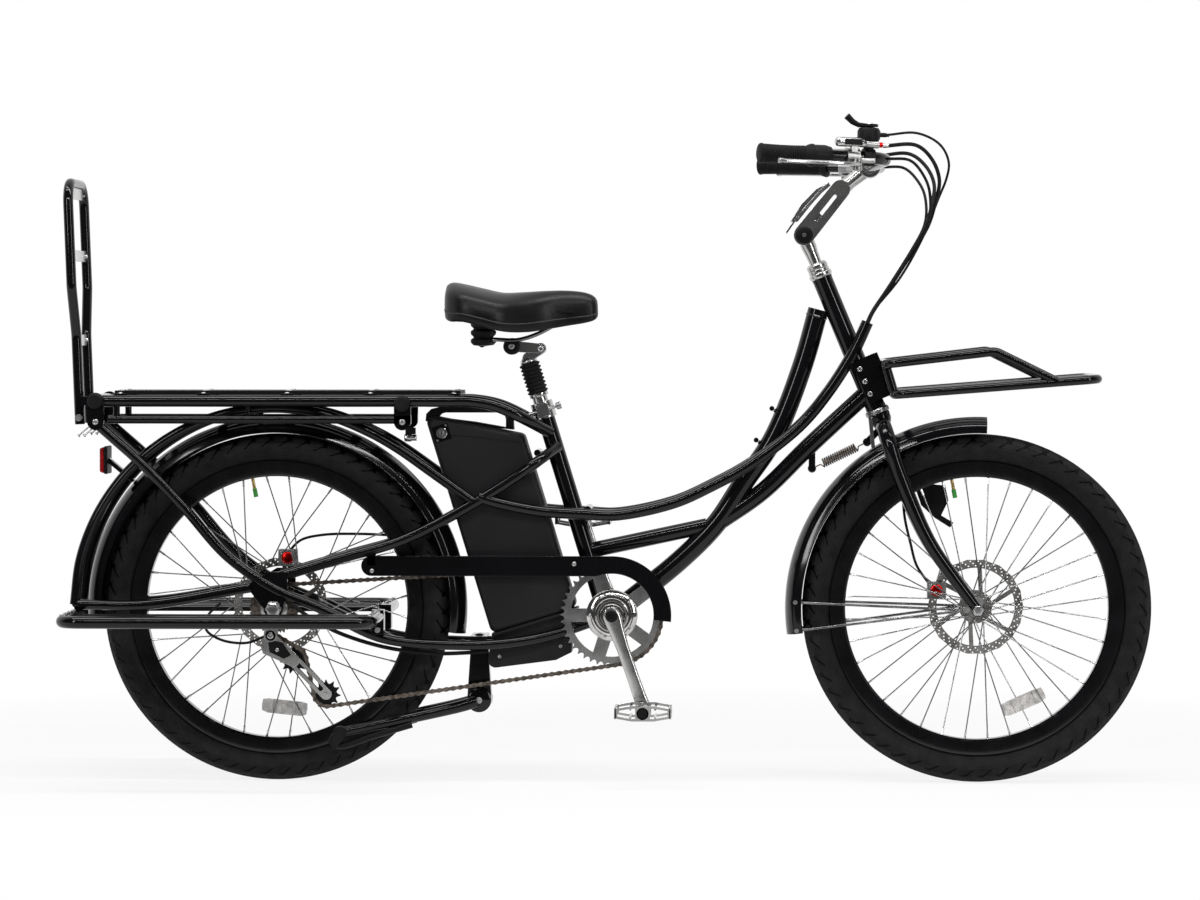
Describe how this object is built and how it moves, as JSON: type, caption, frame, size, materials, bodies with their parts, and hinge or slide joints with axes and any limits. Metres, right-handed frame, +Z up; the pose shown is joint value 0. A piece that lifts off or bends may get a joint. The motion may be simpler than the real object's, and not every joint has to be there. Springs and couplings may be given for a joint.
{
  "type": "longtail cargo bicycle",
  "caption": "Longtail cargo bicycle with a rear hub motor, battery behind the seat tube, slatted rear rack with backrest and footboards, and a front carrier.",
  "frame": {"origin": "on the ground, midway between the front and rear ends, in the plane of the wheels", "axes": "+X the way it rides, +Y its left side, +Z up"},
  "size_m": [1.9368, 0.6964, 1.1857],
  "materials": {
    "black_paint": "gloss",
    "silver_alloy": "satin",
    "bare_steel": "oiled",
    "black_plastic": "matte",
    "black_rubber": "matte",
    "tyre_rubber": "matte",
    "red_lens": "gloss",
    "saddle_cover": "satin"
  },
  "bodies": {
    "frame": {"head_tube": "black_paint", "down_tube": "black_paint", "seat_tube": "black_paint", "side_tubes": "black_paint", "seat_stays": "black_paint", "chainstay_right": "black_paint", "chainstay_left": "black_paint", "rear_hoops": "black_paint", "rack_frame": "black_paint", "rack_deck": "black_plastic", "backrest": "black_paint", "footboard_right": "black_paint", "footboard_left": "black_paint", "rear_fender": "black_paint", "chain_guard": "black_plastic", "battery_dock": "black_plastic", "kickstand_bracket": "black_paint", "seat_clamp": "silver_alloy", "clamp_lever": "black_plastic", "front_rack": "black_paint", "rear_caliper": "silver_alloy", "tail_light": "red_lens", "derailleur": "silver_alloy", "motor_cable": "black_rubber", "stabiliser_spring": "bare_steel", "cables_right": "black_rubber", "cables_left": "black_rubber", "chain": "bare_steel"},
    "fork": {"fork": "black_paint", "front_fender": "black_paint", "stem_quill": "silver_alloy", "front_caliper": "silver_alloy"},
    "front_wheel": {"front_wheel": "silver_alloy", "front_tyre": "tyre_rubber"},
    "stem": {"stem_arm": "silver_alloy", "handlebar": "black_paint", "grip_right": "black_rubber", "grip_left": "black_rubber"},
    "stem_lever": {"stem_lever": "silver_alloy"},
    "throttle": {"throttle": "black_plastic"},
    "brake_lever_right": {"brake_lever_right": "silver_alloy"},
    "brake_lever_left": {"brake_lever_left": "silver_alloy"},
    "shift_lever": {"shift_lever": "black_plastic"},
    "rear_wheel": {"rear_wheel": "silver_alloy", "rear_tyre": "tyre_rubber"},
    "cranks": {"crankset": "silver_alloy"},
    "pedal_right": {"pedal_right": "silver_alloy"},
    "pedal_left": {"pedal_left": "silver_alloy"},
    "freewheel": {"cassette": "bare_steel"},
    "cage": {"derailleur_cage": "silver_alloy"},
    "upper_jockey": {"upper_jockey": "black_plastic"},
    "lower_jockey": {"lower_jockey": "black_plastic"},
    "battery": {"battery": "black_plastic"},
    "seatpost": {"seatpost": "silver_alloy", "seatpost_boot": "black_rubber"},
    "seat_link": {"seat_link": "silver_alloy"},
    "saddle": {"saddle_frame": "black_paint", "saddle": "saddle_cover"},
    "kickstand": {"kickstand": "black_paint"}
  },
  "joints": [
    {"name": "steering", "type": "hinge", "parent": "frame", "child": "fork", "pos_m": [0.47732, 0, 0.66866], "axis": [-0.3843, 0, 0.9232], "range_deg": [-60, 60], "stiffness_Nm_per_rad": 3, "deforming": ["stabiliser_spring", "cables_right", "cables_left"]},
    {"name": "front_wheel_spin", "type": "hinge", "parent": "fork", "child": "front_wheel", "pos_m": [0.6573, 0, 0.3115], "axis": [0, 1, 0], "continuous": true},
    {"name": "rear_wheel_spin", "type": "hinge", "parent": "frame", "child": "rear_wheel", "pos_m": [-0.596, 0, 0.3115], "axis": [0, 1, 0], "continuous": true},
    {"name": "stem_tilt", "type": "hinge", "parent": "fork", "child": "stem", "pos_m": [0.34874, 0, 0.97757], "axis": [0, 1, 0], "range_deg": [-20, 20], "deforming": ["cables_right", "cables_left"]},
    {"name": "stem_lever_turn", "type": "hinge", "parent": "stem", "child": "stem_lever", "pos_m": [0.39488, 0, 1.06578], "axis": [0, 1, 0], "range_deg": [0, 60]},
    {"name": "throttle_twist", "type": "hinge", "parent": "stem", "child": "throttle", "pos_m": [0.271, -0.295, 1.113], "axis": [0.9504, 0.3097, -0.0297], "range_deg": [0, 70], "stiffness_Nm_per_rad": 0.1, "springref_deg": -17.19},
    {"name": "brake_lever_right_pull", "type": "hinge", "parent": "stem", "child": "brake_lever_right", "pos_m": [0.4377, -0.2722, 1.0941], "axis": [0.0282, 0.0092, 0.9996], "range_deg": [-10, 0], "stiffness_Nm_per_rad": 1, "springref_deg": 11.46},
    {"name": "brake_lever_left_pull", "type": "hinge", "parent": "stem", "child": "brake_lever_left", "pos_m": [0.4377, 0.2722, 1.0941], "axis": [0.0282, -0.0092, 0.9996], "range_deg": [0, 10], "stiffness_Nm_per_rad": 1, "springref_deg": -11.46},
    {"name": "shift_lever_turn", "type": "hinge", "parent": "stem", "child": "shift_lever", "pos_m": [0.4573, -0.2343, 1.1072], "axis": [0.0282, 0.0092, 0.9996], "range_deg": [-20, 20]},
    {"name": "crank_spin", "type": "hinge", "parent": "frame", "child": "cranks", "pos_m": [0.007, 0, 0.3], "axis": [0, 1, 0], "continuous": true, "deforming": ["chain"]},
    {"name": "pedal_right_spin", "type": "hinge", "parent": "cranks", "child": "pedal_right", "pos_m": [0.06484, -0.1, 0.13484], "axis": [0, 1, 0], "continuous": true},
    {"name": "pedal_left_spin", "type": "hinge", "parent": "cranks", "child": "pedal_left", "pos_m": [-0.05084, 0.1, 0.46516], "axis": [0, 1, 0], "continuous": true},
    {"name": "freewheel_spin", "type": "hinge", "parent": "frame", "child": "freewheel", "pos_m": [-0.596, 0, 0.3115], "axis": [0, 1, 0], "continuous": true},
    {"name": "cage_swing", "type": "hinge", "parent": "frame", "child": "cage", "pos_m": [-0.562, 0, 0.219], "axis": [0, 1, 0], "range_deg": [-5, 10], "stiffness_Nm_per_rad": 5, "deforming": ["chain"]},
    {"name": "upper_jockey_spin", "type": "hinge", "parent": "cage", "child": "upper_jockey", "pos_m": [-0.562, 0, 0.219], "axis": [0, 1, 0], "continuous": true},
    {"name": "lower_jockey_spin", "type": "hinge", "parent": "cage", "child": "lower_jockey", "pos_m": [-0.50361, 0, 0.15806], "axis": [0, 1, 0], "continuous": true},
    {"name": "battery_slide", "type": "slide", "parent": "frame", "child": "battery", "axis": [-0.2935, 0, 0.9559], "range_m": [0, 0.035]},
    {"name": "seatpost_slide", "type": "slide", "parent": "frame", "child": "seatpost", "axis": [-0.2935, 0, 0.9559], "range_m": [-0.009, 0.12]},
    {"name": "seat_spring", "type": "slide", "parent": "seatpost", "child": "seat_link", "axis": [-0.2935, 0, 0.9559], "range_m": [-0.03, 0], "stiffness_N_per_m": 15000, "springref_m": 0.02, "deforming": ["seatpost_boot"]},
    {"name": "saddle_flip", "type": "hinge", "parent": "seat_link", "child": "saddle", "pos_m": [-0.12198, 0, 0.77505], "axis": [0, 1, 0], "range_deg": [0, 60]},
    {"name": "kickstand_turn", "type": "hinge", "parent": "frame", "child": "kickstand", "pos_m": [-0.232, 0, 0.146], "axis": [0, 1, 0], "range_deg": [-16.5, 0]}
  ],
  "couplings": [
    {"joint": "freewheel_spin", "follows": "crank_spin", "ratio": 2.2},
    {"joint": "lower_jockey_spin", "follows": "crank_spin", "ratio": 4},
    {"joint": "upper_jockey_spin", "follows": "crank_spin", "ratio": -4}
  ]
}
